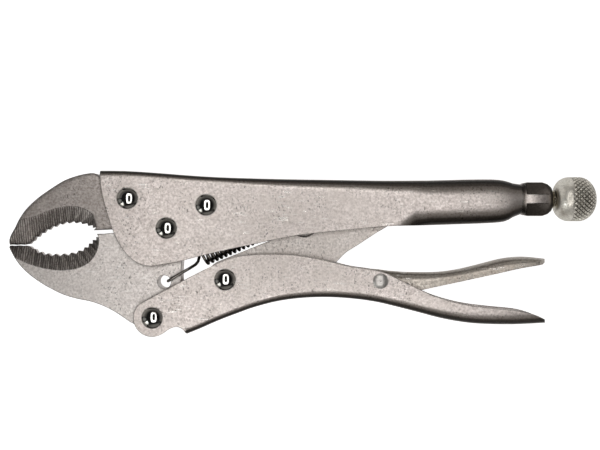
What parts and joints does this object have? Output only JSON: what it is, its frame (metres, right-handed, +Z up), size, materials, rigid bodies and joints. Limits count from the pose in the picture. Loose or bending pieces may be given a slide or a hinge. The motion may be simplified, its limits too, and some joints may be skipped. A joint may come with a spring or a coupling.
{
  "type": "locking pliers",
  "caption": "Curved-jaw locking pliers, 250 mm long, with a pressed channel handle, toggle link, release lever, return spring and knurled adjusting knob, closed and locked.",
  "frame": {"origin": "the jaw pivot's axis, at the flat of the pivot rivet's lower head, which is the surface that the tool lies on", "axes": "+X runs back along the upper handle to the adjusting knob, +Y points from the movable jaw's side to the spine, +Z is up out of the side plates, along every hinge's axis but the knob's"},
  "size_m": [0.2512, 0.0704, 0.019],
  "materials": {
    "plated_sheet": "satin nickel plate with fine speckle",
    "jaw_steel": "satin nickel plate over forged steel",
    "link_steel": "satin nickel plate",
    "lever_steel": "satin plate, warm and slightly darker",
    "rivet_steel": "polished",
    "knob_steel": "bright plate",
    "screw_steel": "plated thread, oily",
    "spring_steel": "black oiled spring wire"
  },
  "bodies": {
    "upper_body": {"upper_handle": "plated_sheet", "fixed_jaw": "jaw_steel", "front_jaw_rivet": "rivet_steel", "rear_jaw_rivet": "rivet_steel", "jaw_pivot_rivet": "rivet_steel", "return_spring": "spring_steel"},
    "jaw_body": {"movable_jaw": "jaw_steel"},
    "lower_body": {"lower_handle": "plated_sheet", "handle_pivot_rivet": "rivet_steel", "link_pivot_rivet": "rivet_steel", "lever_rivet": "link_steel"},
    "link_body": {"toggle_link": "link_steel"},
    "lever_body": {"release_lever": "lever_steel"},
    "screw_body": {"adjusting_screw": "screw_steel"},
    "knob_body": {"adjusting_knob": "knob_steel"}
  },
  "joints": [
    {"name": "jaw_pivot", "type": "hinge", "parent": "upper_body", "child": "jaw_body", "pos_m": [0, 0, 0.0095], "axis": [0, 0, 1], "range_deg": [0, 17.05], "deforming": ["return_spring"]},
    {"name": "handle_pivot", "type": "hinge", "parent": "jaw_body", "child": "lower_body", "pos_m": [-0.006, -0.038, 0.0095], "axis": [0, 0, 1], "range_deg": [-60, 0]},
    {"name": "link_pivot", "type": "hinge", "parent": "lower_body", "child": "link_body", "pos_m": [0.0248, -0.0218, 0.0095], "axis": [0, 0, 1], "range_deg": [0, 63.6]},
    {"name": "lever_pivot", "type": "hinge", "parent": "lower_body", "child": "lever_body", "pos_m": [0.0906, -0.0224, 0.0095], "axis": [0, 0, 1], "range_deg": [-6, 0]},
    {"name": "screw_travel", "type": "slide", "parent": "upper_body", "child": "screw_body", "axis": [1, 0, 0], "range_m": [0, 0.0141]},
    {"name": "knob_turn", "type": "hinge", "parent": "screw_body", "child": "knob_body", "pos_m": [0.175, 0.0124, 0.0095], "axis": [1, 0, 0], "range_deg": [0, 3600]}
  ],
  "couplings": [
    {"joint": "jaw_pivot", "follows": "handle_pivot", "ratio": -0.28333},
    {"joint": "link_pivot", "follows": "handle_pivot", "ratio": -1.0583},
    {"joint": "knob_turn", "follows": "screw_travel", "rad_per_m": 4453}
  ]
}
